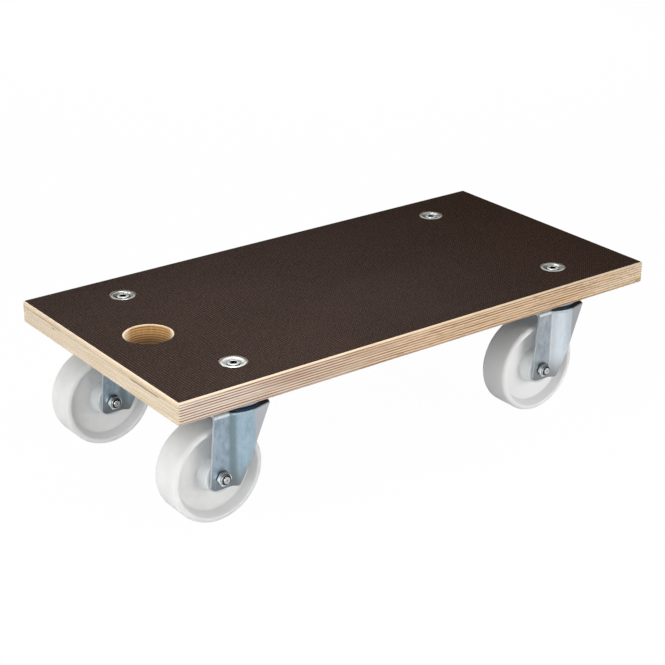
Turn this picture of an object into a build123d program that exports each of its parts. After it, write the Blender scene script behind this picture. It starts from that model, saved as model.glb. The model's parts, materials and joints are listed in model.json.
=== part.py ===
from build123d import *
from math import cos, pi, radians, sin, sqrt, tan
import os

# Wooden transport dolly: a film-faced plywood deck with a grip hole, on four swivel castors.
# Millimetres. The origin is on the floor under the middle of the deck, +X runs along the deck
# and +Z points up. A castor is modelled once, about its own swivel axis, and set at each corner.

# Deck
DECK_LENGTH = 590.0
DECK_WIDTH = 295.0
DECK_THICKNESS = 23.5
DECK_BOTTOM = 129.5
FILM_THICKNESS = 0.4
CORNER_ROUND = 3.0
EDGE_ROUND = 2.0
GRIP_X = -236.0
GRIP_RADIUS = 23.0
GRIP_LIP_ROUND = 2.0

# Places of the castors
CASTOR_X = 205.0
CASTOR_Y = 101.0

# Dished washer and socket-head bolt in the deck's top
ROSETTE_RADIUS = 13.5
ROSETTE_SHEET = 1.2
ROSETTE_SINK = 0.1
DISH_DEPTH = 5.0
DISH_FLOOR_RADIUS = 7.6
DISH_RIM_RADIUS = 9.8
ROSETTE_RIM_ROUND = 0.9
DISH_EDGE_ROUND = 1.2
SEAT_GAP = 0.3
BOLT_RADIUS = 4.0
THREAD_GAP = 0.1
BOLT_HOLE_RADIUS = 4.5
SOCKET_HEAD_RADIUS = 6.5
SOCKET_HEAD_HEIGHT = 4.4
SOCKET_HEAD_ROUND = 0.8
SOCKET_ACROSS_FLATS = 6.0
SOCKET_DEPTH = 3.0

# Hexagon fasteners, M8
HEX_ACROSS_FLATS = 13.0
HEX_CHAMFER_SHARE = 0.95
HEX_HEAD_HEIGHT = 5.3
NUT_HEX_HEIGHT = 4.8
NUT_COLLAR_HEIGHT = 1.7
NUT_COLLAR_RADIUS = 5.3
NUT_COLLAR_ROUND = 1.0
BOLT_TIP_STICKOUT = 1.2
BOLT_TIP_CHAMFER = 0.8
WASHER_RADIUS = 8.0
WASHER_THICKNESS = 1.6

# Swivel head
CAP_RADIUS = 27.3
CAP_SHEET = 2.5
CAP_ROUND = 3.5
CAP_SKIRT_BOTTOM = 118.0
RIVET_RADIUS = 6.5
RIVET_BORE_RADIUS = 4.3
RIVET_FLARE = 2.0
RIVET_COLLAR_RADIUS = 9.5
RIVET_COLLAR_HEIGHT = 2.4
RIVET_COLLAR_ROUND = 1.0
RIVET_GAP = 0.1
UPPER_BALL_RADIUS = 4.0
UPPER_PITCH_RADIUS = 17.0
UPPER_RACE_DEPTH = 0.9
LOWER_BALL_RADIUS = 3.0
LOWER_PITCH_RADIUS = 13.0
LOWER_RACE_DEPTH = 0.7
BALLS_PER_ROW = 12
BALL_SIDES = 8
BALL_GAP = 0.15
LOWER_RACE_SHEET = 2.5
LOWER_RACE_RADIUS = 17.5

# Fork, drawn from sheet
FORK_SHEET = 2.5
CROWN_TOP = 116.0
CUP_RADIUS = 31.0
CREASE_X = 3.0
REAR_FLAT_TAPER = 15.0
REAR_FLAT_END_X = 24.0
CROWN_REAR_X = 30.5
FOLD_ROUND = 4.0
WING_HALF_WIDTH = 24.0
CROWN_BEND = 4.2
LEG_BOTTOM = 38.0
FRONT_X_AT_BOTTOM = -43.6
FRONT_X_AT_CROWN = -37.7
LEG_FRONT_ROUND = 6.0
LEG_REAR_ROUND = 3.0
LEG_REAR_X = -13.5
REAR_BEND_X = 4.2
REAR_BEND_Z = 80.0
REAR_BEND_ROUND = 60.0
REAR_TOP_X = 23.0
REAR_TOP_ROUND = 3.0
CROWN_HOLE_RADIUS = 8.5
BOSS_TOP_RADIUS = 20.8
BOSS_FOOT_RADIUS = 23.6
BOSS_ROUND = 1.0

# Wheel and axle
WHEEL_RADIUS = 50.0
TRAIL = 30.0
TREAD_HALF_WIDTH = 17.5
TREAD_ROUND = 4.0
RIM_INNER_RADIUS = 44.5
RECESS_FOOT_RADIUS = 40.0
RECESS_ROUND = 2.0
WEB_HALF_WIDTH = 8.0
HUB_FOOT_RADIUS = 18.5
HUB_FACE_RADIUS = 17.0
HUB_ROUND = 1.5
HUB_GAP = 0.3
TUBE_RADIUS = 6.0
TUBE_BORE_RADIUS = 4.15
TUBE_RUNNING_GAP = 0.1
AXLE_HOLE_RADIUS = 4.1

# How far a cutting tool runs past the face that it cuts
OVERRUN = 1.0

# Heights and widths that follow from the driving dimensions
DECK_TOP = DECK_BOTTOM + DECK_THICKNESS
CORE_BOTTOM = DECK_BOTTOM + FILM_THICKNESS
CORE_THICKNESS = DECK_THICKNESS - 2 * FILM_THICKNESS
ROSETTE_TOP = DECK_TOP - ROSETTE_SINK
DISH_FLOOR_TOP = ROSETTE_TOP - DISH_DEPTH
CAP_UNDERSIDE = DECK_BOTTOM - CAP_SHEET
UPPER_BALL_Z = CAP_UNDERSIDE + UPPER_RACE_DEPTH - UPPER_BALL_RADIUS - BALL_GAP
BOSS_TOP = UPPER_BALL_Z - UPPER_BALL_RADIUS - BALL_GAP + UPPER_RACE_DEPTH
BOSS_UNDERSIDE = BOSS_TOP - FORK_SHEET
LOWER_BALL_Z = BOSS_UNDERSIDE + LOWER_RACE_DEPTH - LOWER_BALL_RADIUS - BALL_GAP
LOWER_RACE_TOP = LOWER_BALL_Z - LOWER_BALL_RADIUS - BALL_GAP + LOWER_RACE_DEPTH
RIVET_COLLAR_TOP = LOWER_RACE_TOP - LOWER_RACE_SHEET - RIVET_GAP
RIVET_BOTTOM = RIVET_COLLAR_TOP - RIVET_COLLAR_HEIGHT
NUT_TOP = RIVET_BOTTOM - WASHER_THICKNESS
NUT_HEIGHT = NUT_HEX_HEIGHT + NUT_COLLAR_HEIGHT
AXLE_Z = WHEEL_RADIUS
LEG_INNER_Y = WING_HALF_WIDTH - FORK_SHEET
HUB_HALF_LENGTH = LEG_INNER_Y - HUB_GAP

CASTORS = {
    "front_left": (-CASTOR_X, -CASTOR_Y),
    "front_right": (CASTOR_X, -CASTOR_Y),
    "back_left": (-CASTOR_X, CASTOR_Y),
    "back_right": (CASTOR_X, CASTOR_Y),
}

ON_BASE = (Align.CENTER, Align.CENTER, Align.MIN)


def turned(points, rounds=()):
    """Solid of revolution about Z from (radius, height) points; rounds holds (point, radius) pairs."""
    section = make_face(Polyline(*points, close=True))
    for corner, radius in rounds:
        vertex = section.vertices().sort_by_distance(corner)[0]
        section = fillet(vertex, radius)
    return revolve(Plane.XZ * section, Axis.Z)


def pipe(outer, inner, bottom, top):
    """Ring about Z between two radii and two heights."""
    return turned([(inner, bottom), (outer, bottom), (outer, top), (inner, top)])


def rod(radius, bottom, top):
    """Cylinder about Z between two heights."""
    return Pos(0, 0, bottom) * Cylinder(radius, top - bottom, align=ON_BASE)


def across_the_fork(shape):
    """Turns a shape made about Z so that its +Z end points to -Y, and sets it on the axle's line."""
    return Pos(-TRAIL, 0, AXLE_Z) * Rot(90, 0, 0) * shape


def hexagon_block(height):
    """Hexagon prism standing on Z = 0, with its corners chamfered at both ends."""
    prism = extrude(RegularPolygon(HEX_ACROSS_FLATS / 2, 6, major_radius=False), height)
    corner = HEX_ACROSS_FLATS / 2 / cos(pi / 6)
    flat = HEX_ACROSS_FLATS / 2 * HEX_CHAMFER_SHARE
    rise = (corner - flat) / 2
    envelope = turned(
        [(0, 0), (flat, 0), (corner, rise), (corner, height - rise), (flat, height), (0, height)]
    )
    return prism & envelope


def lock_nut():
    """Hexagon lock nut standing on Z = 0, with the round collar of its insert on top."""
    collar = turned(
        [(0, 0), (NUT_COLLAR_RADIUS, 0), (NUT_COLLAR_RADIUS, NUT_HEIGHT), (0, NUT_HEIGHT)],
        [((NUT_COLLAR_RADIUS, NUT_HEIGHT), NUT_COLLAR_ROUND)],
    )
    bore = rod(BOLT_RADIUS + THREAD_GAP, -OVERRUN, NUT_HEIGHT + OVERRUN)
    return hexagon_block(NUT_HEX_HEIGHT) + collar - bore


def chamfered_rod(bottom, top):
    """Bolt shank about Z whose lower end has the usual small chamfer."""
    return turned(
        [
            (0, bottom),
            (BOLT_RADIUS - BOLT_TIP_CHAMFER, bottom),
            (BOLT_RADIUS, bottom + BOLT_TIP_CHAMFER),
            (BOLT_RADIUS, top),
            (0, top),
        ]
    )


def rosette_seat():
    """Stepped hole in the deck that takes the dished washer and the bolt, about Z."""
    flange_floor = ROSETTE_TOP - ROSETTE_SHEET
    dish_floor = DISH_FLOOR_TOP - ROSETTE_SHEET
    flange = rod(ROSETTE_RADIUS + SEAT_GAP, flange_floor, DECK_TOP + OVERRUN)
    dish = turned(
        [
            (0, dish_floor),
            (DISH_FLOOR_RADIUS + ROSETTE_SHEET + SEAT_GAP, dish_floor),
            (DISH_RIM_RADIUS + ROSETTE_SHEET + SEAT_GAP, flange_floor),
            (0, flange_floor),
        ]
    )
    return flange + dish + rod(BOLT_HOLE_RADIUS, DECK_BOTTOM - OVERRUN, DECK_TOP)


def at_castors(shape):
    """Four copies of a shape, one on each swivel axis."""
    return [Pos(x, y, 0) * shape for x, y in CASTORS.values()]


def plywood_core():
    board = Pos(0, 0, CORE_BOTTOM) * Box(DECK_LENGTH, DECK_WIDTH, CORE_THICKNESS, align=ON_BASE)
    board = fillet(board.edges().filter_by(Axis.Z), CORNER_ROUND)
    faces = board.faces().sort_by(Axis.Z)
    board = fillet(faces[0].edges() + faces[-1].edges(), EDGE_ROUND)
    board -= Pos(GRIP_X, 0, 0) * rod(GRIP_RADIUS, DECK_BOTTOM - OVERRUN, DECK_TOP + OVERRUN)
    round_edges = board.edges().filter_by(GeomType.CIRCLE)
    board = fillet(round_edges.filter_by(lambda edge: edge.radius > CORNER_ROUND), GRIP_LIP_ROUND)
    for seat in at_castors(rosette_seat()):
        board -= seat
    return board


def film(bottom):
    """Phenolic film on one face of the board; the rounded edges stay bare wood."""
    length = DECK_LENGTH - 2 * EDGE_ROUND
    width = DECK_WIDTH - 2 * EDGE_ROUND
    blank = RectangleRounded(length, width, CORNER_ROUND - EDGE_ROUND)
    sheet = Pos(0, 0, bottom) * extrude(blank, FILM_THICKNESS)
    opening = rod(GRIP_RADIUS + GRIP_LIP_ROUND, DECK_BOTTOM - OVERRUN, DECK_TOP + OVERRUN)
    sheet -= Pos(GRIP_X, 0, 0) * opening
    for seat in at_castors(rosette_seat()):
        sheet -= seat
    return sheet


def rosette_washer():
    """Dished washer: a flat rim with rounded edge, and a conical dish that holds the bolt's head."""
    flange_floor = ROSETTE_TOP - ROSETTE_SHEET
    dish_floor = DISH_FLOOR_TOP - ROSETTE_SHEET
    rim_edge = (ROSETTE_RADIUS, ROSETTE_TOP)
    dish_edge = (DISH_RIM_RADIUS, ROSETTE_TOP)
    return turned(
        [
            (BOLT_HOLE_RADIUS, dish_floor),
            (DISH_FLOOR_RADIUS + ROSETTE_SHEET, dish_floor),
            (DISH_RIM_RADIUS + ROSETTE_SHEET, flange_floor),
            (ROSETTE_RADIUS, flange_floor),
            rim_edge,
            dish_edge,
            (DISH_FLOOR_RADIUS, DISH_FLOOR_TOP),
            (BOLT_HOLE_RADIUS, DISH_FLOOR_TOP),
        ],
        [(rim_edge, ROSETTE_RIM_ROUND), (dish_edge, DISH_EDGE_ROUND)],
    )


def mount_bolt():
    """Socket-head bolt from the deck's top down through the swivel head and its nut."""
    head_top = DISH_FLOOR_TOP + SOCKET_HEAD_HEIGHT
    head = turned(
        [
            (0, DISH_FLOOR_TOP),
            (SOCKET_HEAD_RADIUS, DISH_FLOOR_TOP),
            (SOCKET_HEAD_RADIUS, head_top),
            (0, head_top),
        ],
        [((SOCKET_HEAD_RADIUS, head_top), SOCKET_HEAD_ROUND)],
    )
    socket = extrude(RegularPolygon(SOCKET_ACROSS_FLATS / 2, 6, major_radius=False), SOCKET_DEPTH + OVERRUN)
    shank = chamfered_rod(NUT_TOP - NUT_HEIGHT - BOLT_TIP_STICKOUT, DISH_FLOOR_TOP)
    return head - Pos(0, 0, head_top - SOCKET_DEPTH) * socket + shank


def ball_groove(pitch_radius, ball_radius, height):
    """Ring that a row of balls sweeps out, with the running gap added."""
    return Pos(0, 0, height) * Torus(pitch_radius, ball_radius + BALL_GAP)


def bearing_cap():
    """Pressed cap under the deck: upper race of the head, with a skirt round it."""
    shoulder = (CAP_RADIUS, DECK_BOTTOM)
    inner_shoulder = (CAP_RADIUS - CAP_SHEET, CAP_UNDERSIDE)
    hole = RIVET_RADIUS + RIVET_GAP
    cap = turned(
        [
            (hole, CAP_UNDERSIDE),
            inner_shoulder,
            (CAP_RADIUS - CAP_SHEET, CAP_SKIRT_BOTTOM),
            (CAP_RADIUS, CAP_SKIRT_BOTTOM),
            shoulder,
            (hole + RIVET_FLARE, DECK_BOTTOM),
            (hole, DECK_BOTTOM - RIVET_FLARE),
        ],
        [(shoulder, CAP_ROUND), (inner_shoulder, CAP_ROUND - CAP_SHEET)],
    )
    return cap - ball_groove(UPPER_PITCH_RADIUS, UPPER_BALL_RADIUS, UPPER_BALL_Z)


def king_rivet():
    """Hollow rivet that holds the head together: flared into the cap, with a collar under the lower race."""
    return turned(
        [
            (RIVET_BORE_RADIUS, RIVET_BOTTOM),
            (RIVET_COLLAR_RADIUS, RIVET_BOTTOM),
            (RIVET_COLLAR_RADIUS, RIVET_COLLAR_TOP),
            (RIVET_RADIUS, RIVET_COLLAR_TOP),
            (RIVET_RADIUS, DECK_BOTTOM - RIVET_FLARE),
            (RIVET_RADIUS + RIVET_FLARE, DECK_BOTTOM),
            (RIVET_BORE_RADIUS, DECK_BOTTOM),
        ],
        [((RIVET_COLLAR_RADIUS, RIVET_BOTTOM), RIVET_COLLAR_ROUND)],
    )


def lower_race():
    """Pressed ring under the crown that the lower balls run on."""
    bottom = LOWER_RACE_TOP - LOWER_RACE_SHEET
    ring = pipe(LOWER_RACE_RADIUS, RIVET_RADIUS + RIVET_GAP, bottom, LOWER_RACE_TOP)
    return ring - ball_groove(LOWER_PITCH_RADIUS, LOWER_BALL_RADIUS, LOWER_BALL_Z)


def ball_ring(radius, latitude):
    """Corners of the octagon that a ball has at a latitude."""
    longitudes = [2 * pi * side / BALL_SIDES for side in range(BALL_SIDES)]
    reach = radius * cos(latitude)
    return [(reach * cos(turn), reach * sin(turn), radius * sin(latitude)) for turn in longitudes]


def bearing_ball(radius):
    """Ball with few flat faces, because it is sealed in its race; all corners are on the sphere."""
    half_step = pi / BALL_SIDES
    rings = [ball_ring(radius, odd * half_step) for odd in (-3, -1, 1, 3)]
    outlines = [rings[0], rings[-1]]
    for lower, upper in zip(rings, rings[1:]):
        for side in range(BALL_SIDES):
            outlines.append([lower[side - 1], lower[side], upper[side], upper[side - 1]])
    return Solid(Shell([Face(Wire.make_polygon(outline)) for outline in outlines]))


def ball_row(pitch_radius, ball_radius, height):
    ball = bearing_ball(ball_radius)
    places = PolarLocations(pitch_radius, BALLS_PER_ROW)
    return [Pos(0, 0, height) * place * ball for place in places]


def mount_washer():
    return pipe(WASHER_RADIUS, RIVET_BORE_RADIUS, NUT_TOP, RIVET_BOTTOM)


def mount_nut():
    """Lock nut on the mounting bolt, collar downwards."""
    return Pos(0, 0, NUT_TOP) * Rot(180, 0, 0) * lock_nut()


def cup_plan():
    """Plan of the drawn cup: round to a crease on each side, then flat sides that taper to the rear."""
    crease_y = sqrt(CUP_RADIUS**2 - CREASE_X**2)
    flat_end_y = crease_y - (REAR_FLAT_END_X - CREASE_X) * tan(radians(REAR_FLAT_TAPER))
    crease = (CREASE_X, crease_y)
    other_crease = (CREASE_X, -crease_y)
    flat_end = (REAR_FLAT_END_X, flat_end_y)
    other_flat_end = (REAR_FLAT_END_X, -flat_end_y)
    return make_face(
        [
            ThreePointArc(crease, (-CUP_RADIUS, 0), other_crease),
            Line(other_crease, other_flat_end),
            ThreePointArc(other_flat_end, (CROWN_REAR_X, 0), flat_end),
            Line(flat_end, crease),
        ]
    )


def fork_plan(front):
    """Plan of the fork: the cup joined to a straight channel that runs to the trailing side."""
    plan = cup_plan() + Pos(front / 2, 0) * Rectangle(-front, 2 * WING_HALF_WIDTH)
    fold_x = -sqrt(CUP_RADIUS**2 - WING_HALF_WIDTH**2)
    for fold in [(fold_x, WING_HALF_WIDTH), (fold_x, -WING_HALF_WIDTH)]:
        vertex = plan.vertices().sort_by_distance(fold)[0]
        plan = fillet(vertex, FOLD_ROUND)
    return plan


def drawn_form(plan, bottom, top, bend):
    """Plan drawn up to a flat top, with a bend all round its upper edge."""
    form = Pos(0, 0, bottom) * extrude(plan, top - bottom)
    return fillet(form.edges().group_by(Axis.Z)[-1], bend)


def fork_side_outline():
    """Side view of the fork: both legs and the crown's ends are cut to this outline."""
    front_lean = (FRONT_X_AT_CROWN - FRONT_X_AT_BOTTOM) / (CROWN_TOP - LEG_BOTTOM)
    front_x_at_boss = FRONT_X_AT_CROWN + front_lean * (BOSS_TOP - CROWN_TOP)
    crown_underside = CROWN_TOP - FORK_SHEET
    front_foot = (FRONT_X_AT_BOTTOM, LEG_BOTTOM)
    rear_foot = (LEG_REAR_X, LEG_BOTTOM)
    rear_bend = (REAR_BEND_X, REAR_BEND_Z)
    rear_top = (REAR_TOP_X, crown_underside)
    outline = make_face(
        Polyline(
            (front_x_at_boss, BOSS_TOP),
            front_foot,
            rear_foot,
            rear_bend,
            rear_top,
            (CROWN_REAR_X + OVERRUN, crown_underside),
            (CROWN_REAR_X + OVERRUN, BOSS_TOP),
            close=True,
        )
    )
    rounds = [
        (front_foot, LEG_FRONT_ROUND),
        (rear_foot, LEG_REAR_ROUND),
        (rear_bend, REAR_BEND_ROUND),
        (rear_top, REAR_TOP_ROUND),
    ]
    for corner, radius in rounds:
        vertex = outline.vertices().sort_by_distance(corner)[0]
        outline = fillet(vertex, radius)
    return Plane.XZ * outline


def crown_boss():
    """Raised ring pressed into the crown; both rows of balls run on it."""
    wall_slope = (BOSS_FOOT_RADIUS - BOSS_TOP_RADIUS) / (BOSS_TOP - CROWN_TOP)
    shift = FORK_SHEET * (1 - wall_slope)
    rim = BOSS_FOOT_RADIUS + FORK_SHEET
    top_edge = (BOSS_TOP_RADIUS, BOSS_TOP)
    ring = turned(
        [
            (CROWN_HOLE_RADIUS, BOSS_UNDERSIDE),
            (CROWN_HOLE_RADIUS, BOSS_TOP),
            top_edge,
            (BOSS_FOOT_RADIUS, CROWN_TOP),
            (rim, CROWN_TOP),
            (rim, CROWN_TOP - FORK_SHEET),
            (BOSS_FOOT_RADIUS - shift, CROWN_TOP - FORK_SHEET),
            (BOSS_TOP_RADIUS - shift, BOSS_UNDERSIDE),
        ],
        [(top_edge, BOSS_ROUND)],
    )
    ring -= ball_groove(UPPER_PITCH_RADIUS, UPPER_BALL_RADIUS, UPPER_BALL_Z)
    return ring - ball_groove(LOWER_PITCH_RADIUS, LOWER_BALL_RADIUS, LOWER_BALL_Z)


def fork():
    """Drawn sheet fork: round cup, flat wings that carry the axle, crown with its raised race."""
    outer_plan = fork_plan(FRONT_X_AT_BOTTOM - OVERRUN)
    inner_plan = offset(fork_plan(FRONT_X_AT_BOTTOM - 2 * OVERRUN - FORK_SHEET), -FORK_SHEET)
    outer = drawn_form(outer_plan, LEG_BOTTOM, CROWN_TOP, CROWN_BEND)
    inner = drawn_form(
        inner_plan, LEG_BOTTOM - OVERRUN, CROWN_TOP - FORK_SHEET, CROWN_BEND - FORK_SHEET
    )
    shell = outer - inner
    shell &= extrude(fork_side_outline(), CUP_RADIUS + OVERRUN, both=True)
    shell -= rod(BOSS_FOOT_RADIUS + FORK_SHEET, CROWN_TOP - FORK_SHEET - OVERRUN, CROWN_TOP + OVERRUN)
    shell += crown_boss()
    axle_hole = across_the_fork(rod(AXLE_HOLE_RADIUS, -CUP_RADIUS, CUP_RADIUS))
    return shell - axle_hole


def axle_tube():
    """Steel tube between the legs that the wheel turns on; the axle bolt clamps it."""
    return across_the_fork(pipe(TUBE_RADIUS, TUBE_BORE_RADIUS, -LEG_INNER_Y, LEG_INNER_Y))


def axle_bolt():
    """Hexagon bolt through both legs, its head on the +Y side."""
    tip = WING_HALF_WIDTH + NUT_HEIGHT + BOLT_TIP_STICKOUT
    shank = Rot(180, 0, 0) * chamfered_rod(-tip, WING_HALF_WIDTH)
    head = Pos(0, 0, -WING_HALF_WIDTH - HEX_HEAD_HEIGHT) * hexagon_block(HEX_HEAD_HEIGHT)
    return across_the_fork(shank + head)


def axle_nut():
    return across_the_fork(Pos(0, 0, WING_HALF_WIDTH) * lock_nut())


def wheel():
    """Solid nylon wheel: crowned-edge tread, recessed sides, tapered hub running on the axle tube."""
    bore = TUBE_RADIUS + TUBE_RUNNING_GAP
    half = [
        (HUB_FACE_RADIUS, HUB_HALF_LENGTH),
        (HUB_FOOT_RADIUS, WEB_HALF_WIDTH),
        (RECESS_FOOT_RADIUS, WEB_HALF_WIDTH),
        (RIM_INNER_RADIUS, TREAD_HALF_WIDTH),
        (WHEEL_RADIUS, TREAD_HALF_WIDTH),
    ]
    other_half = [(radius, -height) for radius, height in reversed(half)]
    corner_rounds = [HUB_ROUND, RECESS_ROUND, RECESS_ROUND, RECESS_ROUND, TREAD_ROUND]
    rounds = list(zip(half, corner_rounds)) + list(zip(other_half, reversed(corner_rounds)))
    body = turned([(bore, HUB_HALF_LENGTH)] + half + other_half + [(bore, -HUB_HALF_LENGTH)], rounds)
    return across_the_fork(body)


os.makedirs("parts", exist_ok=True)

pieces = {
    "plywood_core": plywood_core(),
    "top_film": film(DECK_TOP - FILM_THICKNESS),
    "bottom_film": film(DECK_BOTTOM),
    "rosette_washers": Compound(at_castors(rosette_washer())),
    "mount_bolts": Compound(at_castors(mount_bolt())),
    "mount_washers": Compound(at_castors(mount_washer())),
    "mount_nuts": Compound(at_castors(mount_nut())),
}

castor_pieces = {
    "bearing_cap": bearing_cap(),
    "king_rivet": king_rivet(),
    "lower_race": lower_race(),
    "upper_balls": Compound(ball_row(UPPER_PITCH_RADIUS, UPPER_BALL_RADIUS, UPPER_BALL_Z)),
    "lower_balls": Compound(ball_row(LOWER_PITCH_RADIUS, LOWER_BALL_RADIUS, LOWER_BALL_Z)),
    "fork": fork(),
    "axle_tube": axle_tube(),
    "axle_bolt": axle_bolt(),
    "axle_nut": axle_nut(),
    "wheel": wheel(),
}

for corner, (x, y) in CASTORS.items():
    for name, shape in castor_pieces.items():
        pieces[f"{corner}_{name}"] = Pos(x, y, 0) * shape

for name, shape in pieces.items():
    export_step(shape, f"parts/{name}.step")
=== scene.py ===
import bmesh
import bpy
import json
from math import cos, pi, radians, sin
from mathutils import Matrix, Vector


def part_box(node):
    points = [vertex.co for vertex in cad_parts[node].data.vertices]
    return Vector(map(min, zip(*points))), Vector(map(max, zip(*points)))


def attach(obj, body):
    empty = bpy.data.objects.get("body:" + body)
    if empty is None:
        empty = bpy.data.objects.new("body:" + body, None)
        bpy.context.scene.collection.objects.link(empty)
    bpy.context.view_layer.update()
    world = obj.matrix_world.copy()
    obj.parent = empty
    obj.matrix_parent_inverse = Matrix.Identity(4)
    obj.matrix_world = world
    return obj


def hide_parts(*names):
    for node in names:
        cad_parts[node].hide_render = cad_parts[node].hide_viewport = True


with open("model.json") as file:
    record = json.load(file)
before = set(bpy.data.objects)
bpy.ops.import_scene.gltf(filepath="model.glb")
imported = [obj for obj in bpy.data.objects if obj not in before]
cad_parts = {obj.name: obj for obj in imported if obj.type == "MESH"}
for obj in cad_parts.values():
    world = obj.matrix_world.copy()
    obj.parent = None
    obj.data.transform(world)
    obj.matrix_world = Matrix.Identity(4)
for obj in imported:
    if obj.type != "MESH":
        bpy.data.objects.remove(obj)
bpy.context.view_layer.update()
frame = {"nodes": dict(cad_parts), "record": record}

# Wooden transport dolly: the finishes of its pieces, threaded fasteners, and a pale studio.
# Lengths are metres in the frame's own axes; materials measure in millimetres.

MM = 0.001
CORNERS = ["front_left", "front_right", "back_left", "back_right"]

# Soft step across the object's middle, in millimetres: it tells left from right, and near from far
MIDDLE = (-50.0, 50.0)

# Board and grip hole, read from the frame in metres and used in millimetres
CORE_LOW, CORE_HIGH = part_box("plywood_core")
CORE_FOOT = CORE_LOW.z / MM
CORE_THICKNESS = (CORE_HIGH.z - CORE_LOW.z) / MM
GRIP = next(mount for mount in frame["record"]["mounts"] if mount["name"] == "grip_hole")
GRIP_AXIS = (GRIP["pos_m"][0] / MM, 0.0, 0.0)
GRIP_RADIUS = GRIP["dims"]["r_mm"]

# Plies: their count, and the shares of a pair at which the crosswise one starts and ends
PLY_COUNT = 17
CROSSWISE_START = 0.60
CROSSWISE_END = 0.9
CROSSWISE_FADE = 0.08
HARD_STEP = 0.001

# How far the grain of each ply is moved from the ply below it, in millimetres
PLY_SHUFFLE = (37.0, 11.0, 53.0)

# Long edges, in millimetres along the deck: from where to where the wood turns to each tone; at the right
# end, the cooler and paler tones are painted light
WARM_FROM = (-230.0, 30.0)
COOLER_PAINTED_LIGHT_FROM = (180.0, 280.0)
PAINTED_LIGHT_FROM = (170.0, 280.0)
TORN_FROM = (60.0, 250.0)
BRUISE_FROM = (268.0, 294.0)
BROWN_STRETCH = (-190.0, -80.0)
BROWN_FADE = 60.0

# Heights over the foot of the board, in millimetres
BRUISE_TOP = (2.0, 7.0)
SCUFFED_FOOT = (0.4, 1.8)
FACE_VENEER = (CORE_THICKNESS - 1.9, CORE_THICKNESS - 1.1)
TAN_PLY = (CORE_THICKNESS - 5.6, CORE_THICKNESS - 3.8)
TAN_FADE = 0.8
# Grip hole: painted shade low down, its lip, and the heights of the painted light on two sides
HOLE_SHADE = (4.0, 16.0)
HOLE_LIP = (CORE_THICKNESS - 1.6, CORE_THICKNESS - 0.8)
LIT_SIDES_HEIGHT = (8.0, 17.0)

# Wall of the grip hole: its reach from the axis, and the direction to its two sides with painted light
HOLE_WALL = (GRIP_RADIUS + 0.3, GRIP_RADIUS + 1.3)
LIT_SIDES = (0.8, -0.6)
LIT_SIDES_FROM = (GRIP_RADIUS * 0.8, GRIP_RADIUS * 0.97)

# Left end of the deck, in millimetres: open seams as from y, to y, height and depth, and a pin knot
LEFT_END = (-294.0, -292.0)
SEAMS = [(-111.0, -68.0, 146.2, 0.75), (70.0, 120.0, 147.5, 0.4)]
SEAM_HALF_WIDTH = (0.4, 0.8)
SEAM_FADE = 6.0
PIN_KNOT = (-295.0, 83.0, 144.9)
PIN_KNOT_EDGE = (0.7, 1.4)

# Film, in millimetres: the pitch of its mesh, and where along the deck it turns redder
MESH_PITCH = 2.9
REDDER_FROM = (40.0, 280.0)

# Which way a face looks: from when on it counts as an edge of the board, or as a cut edge of the sheet
EDGE_FACING = (0.3, 0.9)
CUT_EDGE_FACING = (0.9, 0.98)

# Fork, about its swivel axis, in millimetres: the bands of its painted reflections, fold shade, bend
# highlight and darker foot
SWIVEL = sum(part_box("back_right_king_rivet"), Vector()) / 2 / MM
FOLD_X = -20.5
WING_EDGE = (FOLD_X - 2.0, FOLD_X + 1.0)
FOLD_BAND = (FOLD_X + 1.0, FOLD_X + 2.5)
FOLD_FADE = 5.0
CREASE = (2.5, 3.5)
CROWN_BEND = (111.5, 112.5)
SHADED_FOOT = (38.0, 66.0)

# Wheel, about its axle, in millimetres: the hub and the recess wall, where shade is painted
AXLE = sum(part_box("back_right_axle_tube"), Vector()) / 2 / MM - Vector((SWIVEL.x, SWIVEL.y, 0))
HUB_EDGE = (12.0, 22.0)
RECESS_WALL = (40.5, 44.0)
RECESS_FADE = 1.0

# How far light goes into milky nylon, in metres
MILKY_REACH = (10.0 * MM, 10.0 * MM, 10.0 * MM)

# Rosette washers, about the mounting bolts, in millimetres
CROWN_RADIUS = 10.0
CROWN_CURVE = 0.05
# Where shade is painted: the gap round the head, and the dish slope
HEAD_GAP_SHADE = (6.3, 6.9)
DISH_SLOPE = (7.3, 9.9)
DISH_FADE = 0.3

# Painted shade in the crevices of the fasteners, in their gaps and in the mounting bolts' sockets, in
# millimetres: from radius, to radius, from height, to height
NUT_CREVICE_SHADE = [(5.5, 8.0, -0.1, 1.1), (5.2, 5.7, 4.6, 5.0), (3.9, 5.1, 5.5, 6.8)]
AXLE_BOLT_CREVICE_SHADE = [(3.6, 4.2, 6.0, 7.4), (0.0, 0.5, 7.0, 8.0)]
MOUNT_BOLT_CREVICE_SHADE = [(0.0, 3.5, 0.2, 3.4), (6.2, 7.0, 0.5, 5.0)]
CREVICE_SHADE_FADE = 0.15

# Painted shade on the upper side of the axle nuts, for the dark deck that they mirror, in millimetres over
# their axis
SHADED_UPPER_SIDE = (2.0, 5.5)

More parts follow.
